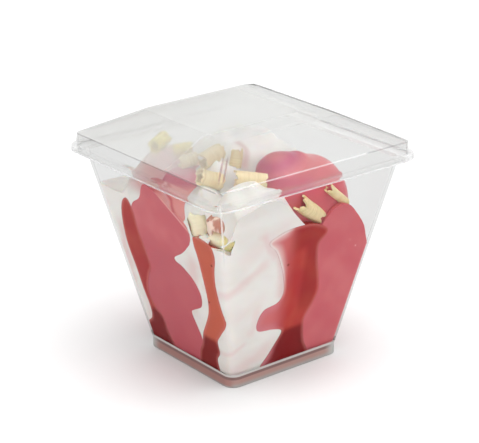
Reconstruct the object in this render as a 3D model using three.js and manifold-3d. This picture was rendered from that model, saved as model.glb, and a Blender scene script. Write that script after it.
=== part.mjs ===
// A square, tapered dessert pot of clear plastic with a clear press-on lid. It holds white
// fromage frais with pink fruit mousse, red fruit coulis and rolled white chocolate curls.
// Millimetres, +Z up, origin under the middle of the pot on the surface it stands on.
import * as THREE from "three";
import { mergeVertices } from "three/addons/utils/BufferGeometryUtils.js";
import Module from "manifold-3d";

const wasm = await Module();
wasm.setup();

// The room left between neighbouring pieces
const GAP = 0.3;

// Pot
const CORNER_STEPS = 5;
const FOOT_HALF = 24;
const FOOT_HEIGHT = 3.4;
const FLOOR_UNDER = 3.5;
const WALL = 1.1;
const RIM_HEIGHT = 74;
const RIM_THICK = 1;
const RIM_HALF = 42.4;
const TAPER = 0.2123;
const SHOULDER_UNDER = 71.2;
const SHOULDER_STEP = 0.6;
const SKIRT_DRAFT = 0.3;
const FOOT_RADIUS = 4;
const TOP_RADIUS = 3;
const RIM_RADIUS = 5.5;

// Lid
const SHEET = 0.6;
const LID_TOP = 88.1;
const LID_TOP_HALF = 23.75;
const LID_EDGE = 79;
const LID_EDGE_HALF = 40.7;
const LID_FOOT_HALF = 41.7;
const LIP_TOP = RIM_HEIGHT + GAP + SHEET;
const LIP_BOTTOM = 73;
const LIP_HALF = 43.3;
const LIP_RADIUS = 6.3;
const LID_FOOT_RADIUS = 5;
const LID_EDGE_RADIUS = 2.5;
const LID_TOP_RADIUS = 3.5;

// Contents
const FILL_FLOOR = FLOOR_UNDER + WALL + GAP;
const FILL_CELLS = 28;
const OUTLINE_STEP = 2.2;
const LOBE_ACROSS = 20;
const LOBE_UP = 12;
const CURL_STEPS = 14;

const COLOURS = {
  clear: { color: 0xe6eaea, roughness: 0.05, metalness: 0, transparent: true, opacity: 0.35 },
  white: { color: 0xe6dfd6, roughness: 0.5, metalness: 0 },
  pink: { color: 0xc76a70, roughness: 0.45, metalness: 0 },
  red: { color: 0xa83430, roughness: 0.25, metalness: 0 },
  chocolate: { color: 0xecdcb0, roughness: 0.5, metalness: 0 },
};

const group = new THREE.Group();

function add(name, solid, colour) {
  const geometry = solid.isBufferGeometry ? solid : toGeometry(solid);
  const mesh = new THREE.Mesh(geometry, new THREE.MeshStandardMaterial(COLOURS[colour]));
  mesh.name = name;
  group.add(mesh);
}

// Solids and geometries
function toSolid(geometry) {
  const bare = geometry.clone();
  bare.deleteAttribute("normal");
  bare.deleteAttribute("uv");
  const merged = mergeVertices(bare, 1e-4);
  const vertProperties = new Float32Array(merged.attributes.position.array);
  const triVerts = new Uint32Array(merged.index.array);
  return new wasm.Manifold(new wasm.Mesh({ numProp: 3, vertProperties, triVerts }));
}

function toGeometry(solid) {
  const mesh = solid.getMesh();
  const geometry = new THREE.BufferGeometry();
  geometry.setAttribute("position", new THREE.BufferAttribute(mesh.vertProperties, 3));
  geometry.setIndex(new THREE.BufferAttribute(mesh.triVerts, 1));
  return geometry;
}

// A square ring with round corners, anticlockwise from above.
function ring(half, radius, z) {
  const points = [];
  for (let corner = 0; corner < 4; corner++) {
    for (let step = 0; step <= CORNER_STEPS; step++) {
      const angle = ((corner + step / CORNER_STEPS) * Math.PI) / 2;
      const turn = ((corner + 0.5) * Math.PI) / 2;
      const middle = (half - radius) * Math.SQRT2;
      points.push([
        middle * Math.cos(turn) + radius * Math.cos(angle),
        middle * Math.sin(turn) + radius * Math.sin(angle),
        z,
      ]);
    }
  }
  return points;
}

// A closed body from rings of equal length, from the ring under its middle to the last one.
function stack(rings) {
  const positions = rings.flat(2);
  const count = rings[0].length;
  const index = [];
  for (let level = 0; level + 1 < rings.length; level++) {
    for (let k = 0; k < count; k++) {
      const a = level * count + k;
      const b = level * count + ((k + 1) % count);
      index.push(a, b, a + count, b, b + count, a + count);
    }
  }
  const last = (rings.length - 1) * count;
  for (let k = 1; k + 1 < count; k++) {
    index.push(0, k + 1, k);
    index.push(last, last + k, last + k + 1);
  }
  const geometry = new THREE.BufferGeometry();
  geometry.setAttribute("position", new THREE.BufferAttribute(new Float32Array(positions), 3));
  geometry.setIndex(index);
  return geometry;
}

// Half the pot's outer width at a height, from the foot up.
function wallHalf(z) {
  return FOOT_HALF + (z - FOOT_HEIGHT) * TAPER;
}

function wallRadius(z) {
  return FOOT_RADIUS + ((TOP_RADIUS - FOOT_RADIUS) * z) / RIM_HEIGHT;
}

// Pot: skirt, tapered wall, small shoulder, flat rim, and back down inside to the floor.
function makePot() {
  const rimUnder = RIM_HEIGHT - RIM_THICK;
  const floorTop = FLOOR_UNDER + WALL;
  const footRadiusIn = FOOT_RADIUS - WALL;
  const topRadiusIn = TOP_RADIUS - WALL;
  const skirtIn = FOOT_HALF - WALL;
  const shoulderHalf = wallHalf(SHOULDER_UNDER) + SHOULDER_STEP;
  return stack([
    ring(skirtIn - SKIRT_DRAFT, footRadiusIn, FLOOR_UNDER),
    ring(skirtIn, footRadiusIn, 0),
    ring(FOOT_HALF, FOOT_RADIUS, 0),
    ring(FOOT_HALF, FOOT_RADIUS, FOOT_HEIGHT),
    ring(wallHalf(SHOULDER_UNDER), wallRadius(SHOULDER_UNDER), SHOULDER_UNDER),
    ring(shoulderHalf, wallRadius(SHOULDER_UNDER), SHOULDER_UNDER + SHOULDER_STEP / 2),
    ring(shoulderHalf, wallRadius(rimUnder), rimUnder),
    ring(RIM_HALF, RIM_RADIUS, rimUnder),
    ring(RIM_HALF, RIM_RADIUS, RIM_HEIGHT),
    ring(wallHalf(RIM_HEIGHT) - WALL, topRadiusIn, RIM_HEIGHT),
    ring(wallHalf(floorTop) - WALL, footRadiusIn, floorTop),
  ]);
}

// Lid: one thin sheet, formed as a lip over the rim, a low wall, four slopes and a flat top.
function makeLid() {
  const under = LIP_TOP - SHEET;
  return stack([
    ring(LID_TOP_HALF - SHEET / 2, LID_TOP_RADIUS, LID_TOP - SHEET),
    ring(LID_EDGE_HALF - SHEET, LID_EDGE_RADIUS - SHEET, LID_EDGE - SHEET / 2),
    ring(LID_FOOT_HALF - SHEET, LID_FOOT_RADIUS - SHEET, under),
    ring(LIP_HALF - SHEET, LIP_RADIUS - SHEET, under),
    ring(LIP_HALF - SHEET, LIP_RADIUS - SHEET, LIP_BOTTOM),
    ring(LIP_HALF, LIP_RADIUS, LIP_BOTTOM),
    ring(LIP_HALF, LIP_RADIUS, LIP_TOP),
    ring(LID_FOOT_HALF, LID_FOOT_RADIUS, LIP_TOP),
    ring(LID_EDGE_HALF, LID_EDGE_RADIUS, LID_EDGE),
    ring(LID_TOP_HALF, LID_TOP_RADIUS, LID_TOP),
  ]);
}

// The room for the food: the inside of the pot, closed over by the room under the lid.
const MOUTH = RIM_HEIGHT - RIM_THICK;
const room = toSolid(
  stack([
    ring(wallHalf(FILL_FLOOR) - WALL - GAP, FOOT_RADIUS - WALL, FILL_FLOOR),
    ring(wallHalf(MOUTH) - WALL - GAP, TOP_RADIUS - WALL, MOUTH),
    ring(LID_TOP_HALF, TOP_RADIUS - WALL, LID_TOP - SHEET - 2 * GAP),
  ]),
);

// The white filling's top is the highest of a sloping fill and a few piped mounds. It is lower
// at the far corner, and in a steep bowl at the near one where curls lie against the walls.
const FILL_LEVEL = 61;
const FAR_DIP = { x: 40, y: -38, deep: 26, reach: 30 };
const BOWL = { x: -36, y: -28, floor: 57.5, rise: 12, reachX: 7.5, reachY: 14 };
const MOUNDS = [
  { x: 3, y: 3, top: 81, wide: 24 },
  { x: -23, y: 10, top: 77.5, wide: 16 },
  { x: -17, y: -9, top: 77, wide: 14 },
  { x: -18, y: -29, top: 74.5, wide: 18 },
  { x: 20, y: 22, top: 71, wide: 22 },
];
const MOUND_DROP = 17;
const SWIRL = { depth: 0.7, arms: 2, pitch: 10 };

function fillTop(x, y) {
  const far = Math.hypot(x - FAR_DIP.x, y - FAR_DIP.y) / FAR_DIP.reach;
  let z = FILL_LEVEL - FAR_DIP.deep * Math.exp(-far * far);
  for (const mound of MOUNDS) {
    const away = Math.hypot(x - mound.x, y - mound.y);
    const turn = SWIRL.arms * Math.atan2(y - mound.y, x - mound.x);
    const ridge = SWIRL.depth * Math.cos(turn - (2 * Math.PI * away) / SWIRL.pitch);
    z = Math.max(z, mound.top - MOUND_DROP * (away / mound.wide) ** 2 + ridge);
  }
  const away = ((x - BOWL.x) / BOWL.reachX) ** 2 + ((y - BOWL.y) / BOWL.reachY) ** 2;
  return Math.min(z, BOWL.floor + BOWL.rise * away * away);
}

// A block under a height function, wider than the pot.
function blockUnder(height) {
  const wide = 2 * RIM_HALF;
  const block = new THREE.BoxGeometry(wide, wide, 2, FILL_CELLS, FILL_CELLS, 1);
  const position = block.attributes.position;
  for (let k = 0; k < position.count; k++) {
    const up = position.getZ(k) > 0;
    position.setZ(k, up ? height(position.getX(k), position.getY(k)) : 0);
  }
  return toSolid(block);
}

// An outline drawn on one wall: across to the right and up, seen from outside. The outline is
// smooth through its points, and runs from outside the wall to a depth inside it.
const WALL_TURN = { left: -Math.PI / 2, front: 0, right: Math.PI / 2, back: Math.PI };

function outlineSolid(wall, points, depth, grow = 0) {
  const curve = new THREE.CatmullRomCurve3(
    points.map(([across, up]) => new THREE.Vector3(across, up, 0)),
    true,
    "centripetal",
  );
  const steps = Math.round(curve.getLength() / OUTLINE_STEP);
  const outline = curve.getSpacedPoints(steps).slice(0, steps);
  const grown = outline.map((point, k) => {
    const before = outline[(k + steps - 1) % steps];
    const after = outline[(k + 1) % steps];
    const along = new THREE.Vector2(after.x - before.x, after.y - before.y).normalize();
    return new THREE.Vector2(point.x + along.y * grow, point.y - along.x * grow);
  });
  if (THREE.ShapeUtils.area(grown) < 0) throw new Error("an outline runs clockwise");
  const outside = RIM_HALF;
  const inside = wallHalf(MOUTH) - WALL - depth - grow;
  const geometry = new THREE.ExtrudeGeometry(new THREE.Shape(grown), {
    depth: outside - inside,
    bevelEnabled: false,
  });
  geometry.rotateX(Math.PI / 2);
  geometry.translate(0, -inside, 0);
  // leans the inner face with the wall
  const position = geometry.attributes.position;
  for (let k = 0; k < position.count; k++) {
    if (position.getY(k) > -(inside + outside) / 2) {
      position.setY(k, position.getY(k) + (MOUTH - position.getZ(k)) * TAPER);
    }
  }
  geometry.rotateZ(WALL_TURN[wall]);
  return toSolid(geometry);
}

const LEFT_COULIS = [
  [-18.5, 60], [-22.2, 57], [-24.3, 50], [-24.6, 41], [-22.3, 31], [-21, 24], [-19.2, 17],
  [-19.7, 12.5], [-23.4, 9], [-24, 3], [-9, 3], [-11, 10], [-12, 15], [-16, 18.5],
  [-17.8, 24], [-15.5, 30.5], [-12.5, 35], [-13.2, 40], [-15.2, 48], [-16, 56],
];
const LEFT_MOUSSE = [
  [-4, 69], [-7, 67.5], [-10, 62.5], [-16, 58], [-18, 48], [-17, 35], [-20, 24], [-16, 14],
  [-13, 3], [8, 3], [8, 9], [10.5, 14], [9, 19.5], [7.4, 24.2], [9.5, 26], [14.3, 28.8],
  [15.5, 33.5], [13, 38.5], [8, 42], [3.6, 43.8], [10, 48], [14.5, 52.5], [16, 57.5],
  [11, 61], [4, 66],
];
const CORNER_COULIS = [
  [19, 57.2], [17.8, 54], [19, 49], [19.6, 42], [19.8, 34], [18.6, 28], [15.5, 23], [12, 18],
  [10, 13], [7.5, 9], [7, 3], [16.5, 3], [17.2, 9], [19.6, 12.5], [19.2, 17], [21.5, 20.5],
  [25.6, 26], [25.3, 32], [25.3, 40], [26.6, 46], [28.6, 52], [27, 56.5],
];
const FRONT_COULIS = [
  [-15, 54], [-11.5, 50], [-9, 45], [-7, 40], [-5.5, 33], [-7.5, 29.2], [-13, 28],
  [-15.3, 24.5], [-14.5, 21], [-8, 19.8], [-3.8, 18], [-4.6, 15], [-8, 9], [-10.4, 3],
  [8.7, 3], [7.2, 10], [6.2, 15], [6, 19.5], [8.5, 24], [10.4, 29], [9.8, 34], [8, 41],
  [7.2, 48], [10, 51], [9.8, 53.5], [4, 56.6], [-4, 57.3], [-10, 56.5],
];
const RIGHT_MOUSSE = [
  [9, 57.5], [5, 50], [5, 40], [6, 30], [4, 20], [4, 3], [34, 3], [38, 30], [36, 41],
  [30.5, 42], [27, 50], [23, 55.4], [18.5, 60], [14, 60.8],
];

// The edge of the right-hand mousse where it shows on the right wall.
const RIGHT_MOUSSE_SIDE = [
  [-60, -20], [-14, -20], [-13.5, 2], [-10, 12], [-15, 20], [-12.5, 29], [-17.5, 37],
  [-20.5, 46], [-19, 54], [-24, 70], [-60, 70],
];

// A lobe of food: a ball drawn out to three half-sizes.
function lobe(x, y, z, rx, ry, rz) {
  const ball = new THREE.SphereGeometry(1, LOBE_ACROSS, LOBE_UP);
  ball.rotateX(Math.PI / 2);
  ball.scale(rx, ry, rz);
  ball.translate(x, y, z);
  return toSolid(ball);
}

// A curl: a strip of white chocolate rolled up, with ragged ends. The strip's thickness and
// the step from one turn to the next are shares of the curl's radius.
const CURL_THICK = 0.26;
const CURL_PITCH = 0.38;

function curl({ at, to, radius, turns = 1.25, ragged = 0.4, teeth = 5, grow = 0 }) {
  const start = new THREE.Vector3(...at);
  const axis = new THREE.Vector3(...to).sub(start);
  const length = axis.length();
  if (grow > 0) {
    const wide = radius + grow;
    const hull = new THREE.CylinderGeometry(wide, wide, length + 2 * grow, CURL_STEPS);
    hull.rotateX(Math.PI / 2);
    hull.translate(0, 0, length / 2);
    return placeAlong(hull, start, axis);
  }
  const outer = [];
  const inner = [];
  for (let k = 0; k <= CURL_STEPS; k++) {
    const turned = (k / CURL_STEPS) * turns;
    const angle = turned * 2 * Math.PI;
    const reach = radius * (1 - CURL_PITCH * turned);
    const under = reach - radius * CURL_THICK;
    outer.push(new THREE.Vector2(reach * Math.cos(angle), reach * Math.sin(angle)));
    inner.push(new THREE.Vector2(under * Math.cos(angle), under * Math.sin(angle)));
  }
  const section = new THREE.Shape([...outer, ...inner.reverse()]);
  const roll = new THREE.ExtrudeGeometry(section, { depth: length, bevelEnabled: false });
  const position = roll.attributes.position;
  for (let k = 0; k < position.count; k++) {
    const angle = Math.atan2(position.getY(k), position.getX(k));
    const wave = ragged * Math.sin(teeth * angle);
    const end = position.getZ(k) > length / 2 ? length - ragged : ragged;
    position.setZ(k, end + wave);
  }
  return placeAlong(roll, start, axis);
}

function placeAlong(geometry, start, axis) {
  const turn = new THREE.Quaternion().setFromUnitVectors(
    new THREE.Vector3(0, 0, 1),
    axis.clone().normalize(),
  );
  geometry.applyQuaternion(turn);
  geometry.translate(start.x, start.y, start.z);
  return toSolid(geometry);
}

const CURLS = {
  curl_tube: { at: [-28.8, -14.8, 75], to: [-21.5, -16.5, 71.8], radius: 3, turns: 1.2 },
  curl_tall: { at: [-22.4, -7.9, 76.9], to: [-14.3, -7.1, 78.4], radius: 2.9, turns: 1.1 },
  curl_right: { at: [-17, -20.5, 72.8], to: [-10, -25.3, 71.5], radius: 2.4, turns: 1.1 },
  curl_upright: { at: [-11, -11.2, 73.6], to: [-9.6, -10.6, 78.8], radius: 2.1, turns: 0.9 },
  curl_left: { at: [-25.8, -0.8, 75.1], to: [-20.6, -2.2, 76.1], radius: 2.2, turns: 1.2 },
  curl_far: { at: [-27.2, 12.4, 77.9], to: [-20.5, 15.4, 78.9], radius: 2.6, turns: 1.2 },
  curl_far_small: { at: [-23.7, 5.9, 77.8], to: [-18.1, 3.9, 77.8], radius: 2.1, turns: 1 },
  curl_wall: { at: [-31, -16.4, 63.4], to: [-31, -17.7, 56.6], radius: 3.1, turns: 1.3 },
  curl_corner: { at: [-31.2, -24.4, 57.4], to: [-30.8, -31.4, 56.4], radius: 2.4, turns: 1.1 },
  curl_star: { at: [-0.8, -31.8, 64.4], to: [8, -30.9, 57.2], radius: 3, ragged: 1.1 },
  curl_small: { at: [11, -32.8, 67], to: [19, -32.2, 59.7], radius: 1.7, turns: 1 },
};

const curlNests = Object.values(CURLS)
  .map((sizes) => curl({ ...sizes, grow: GAP }))
  .reduce((all, next) => all.add(next));

// What lies at the walls, from the front layers to the back ones. Each is cut clear of the
// ones before it, and the white filling takes what is left.
const MOUSSE_LEFT_LOBES = [
  [-25, -6, 60, 10, 16, 14],
];
const CORNER_LOBES = [
  [-26, -25, 61.5, 7, 7, 6],
];
const MOUSSE_MOUND_LOBES = [
  [3, -20.5, 61, 13, 11.5, 17.5],
  [12, -20.5, 58, 15, 13, 17],
  [-1, -18.5, 67, 9, 9.5, 11.5],
];
const layers = [
  { name: "coulis_left", wall: "left", outline: LEFT_COULIS, depth: 7, colour: "red" },
  { name: "coulis_corner", wall: "left", outline: CORNER_COULIS, depth: 7, colour: "red",
    lobes: CORNER_LOBES },
  { name: "coulis_front", wall: "front", outline: FRONT_COULIS, depth: 8, colour: "red" },
  { name: "mousse_left", wall: "left", outline: LEFT_MOUSSE, depth: 15, colour: "pink",
    lobes: MOUSSE_LEFT_LOBES },
  { name: "mousse_right", wall: "front", outline: RIGHT_MOUSSE, depth: 20, colour: "pink",
    side: RIGHT_MOUSSE_SIDE },
  { name: "mousse_mound", lobes: MOUSSE_MOUND_LOBES, colour: "pink" },
  { name: "coulis_back", wall: "back", outline: CORNER_COULIS, depth: 7, colour: "red" },
  { name: "mousse_back", wall: "back", outline: LEFT_MOUSSE, depth: 15, colour: "pink" },
  { name: "coulis_right", wall: "right", outline: FRONT_COULIS, depth: 8, colour: "red" },
];

function layerSolid(layer, grow) {
  const parts = [];
  if (layer.outline) {
    const slab = outlineSolid(layer.wall, layer.outline, layer.depth, grow);
    const side = layer.side && outlineSolid("right", layer.side, 2 * RIM_HALF, grow);
    parts.push(side ? slab.intersect(side) : slab);
  }
  for (const [x, y, z, rx, ry, rz] of layer.lobes ?? []) {
    parts.push(lobe(x, y, z, rx + grow, ry + grow, rz + grow));
  }
  return parts.reduce((all, next) => all.add(next));
}

add("pot", makePot(), "clear");
add("lid", makeLid(), "clear");

const food = room.subtract(curlNests);
const whiteBlock = blockUnder(fillTop);
let left = food;
for (const layer of layers) {
  let solid = left.intersect(layerSolid(layer, 0));
  if (layer.wall === "right" || layer.wall === "back") solid = solid.intersect(whiteBlock);
  add(layer.name, solid, layer.colour);
  left = left.subtract(layerSolid(layer, GAP));
}
add("fromage_frais", left.intersect(whiteBlock), "white");

for (const [name, sizes] of Object.entries(CURLS)) add(name, curl(sizes), "chocolate");

export default group;
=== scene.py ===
import math

import bmesh
import bpy
import numpy as np
from mathutils import Matrix, Vector, noise


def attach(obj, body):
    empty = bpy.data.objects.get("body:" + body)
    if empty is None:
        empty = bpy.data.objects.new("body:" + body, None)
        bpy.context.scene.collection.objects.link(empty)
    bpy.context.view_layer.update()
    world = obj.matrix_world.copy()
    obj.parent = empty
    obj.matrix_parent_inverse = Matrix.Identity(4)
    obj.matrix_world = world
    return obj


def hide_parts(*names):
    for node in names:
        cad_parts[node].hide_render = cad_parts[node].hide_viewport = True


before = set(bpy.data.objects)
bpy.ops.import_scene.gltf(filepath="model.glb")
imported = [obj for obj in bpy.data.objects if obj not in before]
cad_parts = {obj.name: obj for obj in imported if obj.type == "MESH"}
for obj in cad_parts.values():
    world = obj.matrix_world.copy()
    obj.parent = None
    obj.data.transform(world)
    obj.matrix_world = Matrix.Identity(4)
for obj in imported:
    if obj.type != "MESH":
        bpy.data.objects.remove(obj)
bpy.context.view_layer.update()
bpy.ops.object.select_all(action="DESELECT")


# Pot
# The pot is one injection moulding of clear plastic: a square foot, four walls that lean
# outwards, a small shoulder and a flat rim. Its skirt stands on the table and the floor
# sits just above it. All sizes here are in millimetres.
MM = 0.001
FOOT_HALF = 24.0
FOOT_HEIGHT = 3.4
FLOOR_UNDER = 3.5
WALL = 1.1
TAPER = 0.2123
RIM_HEIGHT = 74.0
RIM_THICK = 1.0
RIM_HALF = 42.4
RIM_RADIUS = 5.5
SHOULDER_UNDER = 71.2
SHOULDER_STEP = 0.6
SKIRT_DRAFT = 0.3
FOOT_RADIUS = 4.0
TOP_RADIUS = 3.0
CORNER_STEPS = 8


def wall_half(z):
    """Half the pot's outer width at a height."""
    return FOOT_HALF + (z - FOOT_HEIGHT) * TAPER


def wall_radius(z):
    """The radius of the pot's outer corners at a height."""
    return FOOT_RADIUS + (TOP_RADIUS - FOOT_RADIUS) * z / RIM_HEIGHT


def square_stack(name, rings):
    """Extrudes a square with round corners from ring to ring, and closes it at both ends."""
    half, radius, z = rings[0]
    bpy.ops.mesh.primitive_plane_add(size=2 * half * MM, location=(0, 0, z * MM))
    piece = bpy.context.object
    piece.name = name
    bpy.ops.object.transform_apply(location=True, rotation=True, scale=True)
    bpy.ops.object.mode_set(mode="EDIT")
    bpy.ops.mesh.select_all(action="SELECT")
    bpy.ops.mesh.bevel(offset=radius * MM, segments=CORNER_STEPS, affect="VERTICES")
    bpy.ops.mesh.select_all(action="SELECT")
    for next_half, next_radius, next_z in rings[1:]:
        rise = (next_z - z) * MM
        bpy.ops.mesh.extrude_region_move(TRANSFORM_OT_translate={"value": (0, 0, rise)})
        cage = bmesh.from_edit_mesh(piece.data)
        for vert in (vert for vert in cage.verts if vert.select):
            for axis in (0, 1):
                beyond = abs(vert.co[axis]) - (half - radius) * MM
                reach = (next_half - next_radius) * MM + beyond * next_radius / radius
                vert.co[axis] = math.copysign(reach, vert.co[axis])
        bmesh.update_edit_mesh(piece.data)
        half, radius, z = next_half, next_radius, next_z
    bpy.ops.mesh.select_all(action="SELECT")
    bpy.ops.mesh.normals_make_consistent(inside=False)
    bpy.ops.object.mode_set(mode="OBJECT")
    return piece


def round_edges(piece, offset, sharpness):
    """Rounds the edges that are sharper than an angle, and shades the piece smooth."""
    bpy.ops.object.mode_set(mode="EDIT")
    bpy.ops.mesh.select_mode(type="EDGE")
    bpy.ops.mesh.select_all(action="DESELECT")
    bpy.ops.mesh.edges_select_sharp(sharpness=math.radians(sharpness))
    bpy.ops.mesh.bevel(offset=offset * MM, segments=2, affect="EDGES")
    bpy.ops.mesh.select_mode(type="VERT")
    bpy.ops.object.mode_set(mode="OBJECT")
    bpy.ops.object.shade_smooth()
    even = piece.modifiers.new("even shading", "WEIGHTED_NORMAL")
    even.keep_sharp = True
    bpy.ops.object.modifier_apply(modifier=even.name)


class Number:
    """A value in a finish's nodes. Arithmetic on it adds Math nodes."""

    def __init__(self, finish, socket):
        self.finish = finish
        self.socket = socket

    def math(self, operation, first, second):
        node = self.finish.node("Math", {"operation": operation}, {0: first, 1: second})
        return Number(self.finish, node.outputs[0])

    def __add__(self, other):
        return self.math("ADD", self, other)

    def __sub__(self, other):
        return self.math("SUBTRACT", self, other)

    def __rsub__(self, other):
        return self.math("SUBTRACT", other, self)

    def __mul__(self, other):
        return self.math("MULTIPLY", self, other)

    def __truediv__(self, other):
        return self.math("DIVIDE", self, other)

    def above(self, other):
        return self.math("MAXIMUM", self, other)

    def below(self, other):
        return self.math("MINIMUM", self, other)

    def size(self):
        return self.math("ABSOLUTE", self, 0)

    def fade(self, low, high):
        """Rises smoothly from 0 at low to 1 at high."""
        settings = {"interpolation_type": "SMOOTHSTEP"}
        values = {"Value": self, "From Min": low, "From Max": high}
        node = self.finish.node("MapRange", settings, values)
        return Number(self.finish, node.outputs[0])

    __radd__ = __add__
    __rmul__ = __mul__


class Finish:
    """A material made of nodes."""

    def __init__(self, name):
        self.material = bpy.data.materials.new(name)
        self.material.use_nodes = True
        self.material.node_tree.nodes.clear()
        self.place = self.node("TexCoord").outputs["Object"]
        axes = self.node("SeparateXYZ", {}, {0: self.place}).outputs
        self.x, self.y, self.z = (Number(self, axis) * (1 / MM) for axis in axes)

    def node(self, kind, settings=None, values=None):
        """Adds a node, makes its settings, then fills or links its sockets."""
        tree = self.material.node_tree
        node = tree.nodes.new("ShaderNode" + kind)
        for key, value in (settings or {}).items():
            setattr(node, key, value)
        for key, value in (values or {}).items():
            if isinstance(value, Number):
                value = value.socket
            if isinstance(value, bpy.types.NodeSocket):
                tree.links.new(value, node.inputs[key])
            else:
                node.inputs[key].default_value = value
        return node

    def noise(self, across, detail=3, rough=0.5, twist=0, place=None):
        """Cloudy noise from 0 to 1, whose patches are so many millimetres across."""
        values = {"Vector": place or self.place, "Scale": 1 / (across * MM), "Detail": detail,
                  "Roughness": rough, "Distortion": twist}
        return Number(self, self.node("TexNoise", {}, values).outputs[0])

    def stretched(self, along_x, along_y, along_z):
        """The place on the piece, drawn out along each axis so many times."""
        scale = (1 / along_x, 1 / along_y, 1 / along_z)
        return self.node("Mapping", {}, {"Vector": self.place, "Scale": scale}).outputs[0]

    def blend(self, share, first, second):
        """The first colour turning into the second one."""
        first, second = (
            (*colour, 1) if isinstance(colour, tuple) and len(colour) == 3 else colour
            for colour in (first, second)
        )
        node = self.node("Mix", {"data_type": "RGBA"}, {0: share, 6: first, 7: second})
        return node.outputs[2]

    def bump(self, height, depth, strength=1.0):
        """Relief, with the height in shares of a depth in millimetres."""
        values = {"Height": height, "Distance": depth * MM, "Strength": strength}
        return self.node("Bump", {}, values).outputs[0]

    def stroke(self, across, first, last, wide):
        """A soft brush stroke, 1 along its middle, between two places across and up."""
        run, rise = last[0] - first[0], last[1] - first[1]
        length = math.hypot(run, rise)
        from_side = across - first[0]
        from_under = self.z - first[1]
        along = (from_side * run + from_under * rise) / length
        aside = (from_side * rise - from_under * run) / length
        beyond = (along - length / 2).size() - length / 2
        return aside.size().fade(wide, 0) * beyond.fade(wide * 1.5, 0)

    def stored(self, name):
        """A number that was kept on the mesh."""
        return Number(self, self.node("Attribute", {"attribute_name": name}).outputs["Fac"])

    def surface(self, values):
        return self.node("BsdfPrincipled", {}, values).outputs[0]

    def use_on(self, piece, surface):
        self.node("OutputMaterial", {}, {"Surface": surface})
        piece.data.materials.clear()
        piece.data.materials.append(self.material)


SHEEN_IOR = 1.5
POT_ROUNDING = 0.2
POT_SHARP = 30
PLASTIC = (0.99, 0.99, 0.99, 1)
PLASTIC_IOR = 1.04
# The foot's colours are painted light and shade seen through the clear skirt.
PAINTED_FOOT_PINK = (0.48, 0.24, 0.21)
PAINTED_FOOT_PINK_FRONT = (0.55, 0.33, 0.29)
PAINTED_FOOT_SHADE = (0.48, 0.45, 0.43)
PAINTED_FOOT_SHADE_BAND = (0.27, 0.15, 0.14)
PAINTED_FOOT_HIGHLIGHT = (0.80, 0.76, 0.73)
PAINTED_FOOT_CORNERS = (0.62, 0.63, 0.60)
FOOT_SHARE = 0.65
# A painted highlight for the near corner and the far rim.
PAINTED_GLINT_WHITE = (0.95, 0.95, 0.95, 1)

skirt_in = FOOT_HALF - WALL
floor_top = FLOOR_UNDER + WALL
rim_under = RIM_HEIGHT - RIM_THICK
shoulder_half = wall_half(SHOULDER_UNDER) + SHOULDER_STEP
pot = square_stack("clear_pot", [
    (skirt_in - SKIRT_DRAFT, FOOT_RADIUS - WALL, FLOOR_UNDER),
    (skirt_in, FOOT_RADIUS - WALL, 0),
    (FOOT_HALF, FOOT_RADIUS, 0),
    (FOOT_HALF, FOOT_RADIUS, FOOT_HEIGHT),
    (wall_half(SHOULDER_UNDER), wall_radius(SHOULDER_UNDER), SHOULDER_UNDER),
    (shoulder_half, wall_radius(SHOULDER_UNDER), SHOULDER_UNDER + SHOULDER_STEP / 2),
    (shoulder_half, wall_radius(rim_under), rim_under),
    (RIM_HALF, RIM_RADIUS, rim_under),
    (RIM_HALF, RIM_RADIUS, RIM_HEIGHT),
    (wall_half(RIM_HEIGHT) - WALL, TOP_RADIUS - WALL, RIM_HEIGHT),
    (wall_half(floor_top) - WALL, FOOT_RADIUS - WALL, floor_top),
])
round_edges(pot, POT_ROUNDING, POT_SHARP)

clear = Finish("clear moulded plastic")
ripple = clear.noise(14, detail=1)
moulded = clear.surface({
    "Base Color": PLASTIC,
    "Transmission Weight": 1.0,
    "IOR": PLASTIC_IOR,
    "Roughness": 0.0,
    "Coat Weight": 0.15,
    "Coat IOR": SHEEN_IOR,
    "Coat Roughness": 0.03,
    "Normal": clear.bump(ripple, 0.15, 0.25),
})

# The foot is painted with the light that came down through the food: pink, with a band of
# painted shade under the floor, a painted light line at its edge and corners painted paler
# over their dark reflections.
on_front = clear.y.fade(-22, -23.5)
salmon = clear.blend(on_front, PAINTED_FOOT_PINK, PAINTED_FOOT_PINK_FRONT)
under = clear.z.fade(0.1, 1.1).below(1 - on_front * clear.z.fade(2, 0.4))
foot_painted_light = clear.blend(under, PAINTED_FOOT_SHADE, salmon)
foot_painted_light = clear.blend(clear.z.fade(2.7, 3.2), foot_painted_light, PAINTED_FOOT_SHADE_BAND)
foot_painted_light = clear.blend(clear.z.fade(3.9, 4.3), foot_painted_light, PAINTED_FOOT_HIGHLIGHT)
near_corner = clear.x.fade(-14, -18) * clear.y.fade(-14, -18)
far_corners = clear.x.size().below(clear.y.size()).fade(17, 22) * (1 - near_corner)
foot_painted_light = clear.blend(far_corners, foot_painted_light, PAINTED_FOOT_CORNERS)
foot_painted_light_surface = clear.surface({"Base Color": foot_painted_light, "Roughness": 0.3})
foot_share = clear.z.fade(5.3, 4.9) * FOOT_SHARE
footed = clear.node("MixShader", {}, {0: foot_share, 1: moulded, 2: foot_painted_light_surface}).outputs[0]

# A thin painted highlight runs down the near corner, and the rim at the far sides is painted
# bright.
glint = (clear.x - clear.y).size().fade(0.6, 0.2) * near_corner * clear.z.fade(48, 62) * 0.35
far_rim = clear.x.fade(34, 38).above(clear.y.fade(34, 38)) * clear.z.fade(72.6, 73) * 0.4
painted_glint = clear.surface({"Base Color": PAINTED_GLINT_WHITE, "Roughness": 0.3})
shine = glint.above(far_rim)
clear.use_on(pot, clear.node("MixShader", {}, {0: shine, 1: footed, 2: painted_glint}).outputs[0])
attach(pot, "root")
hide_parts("pot")


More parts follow.
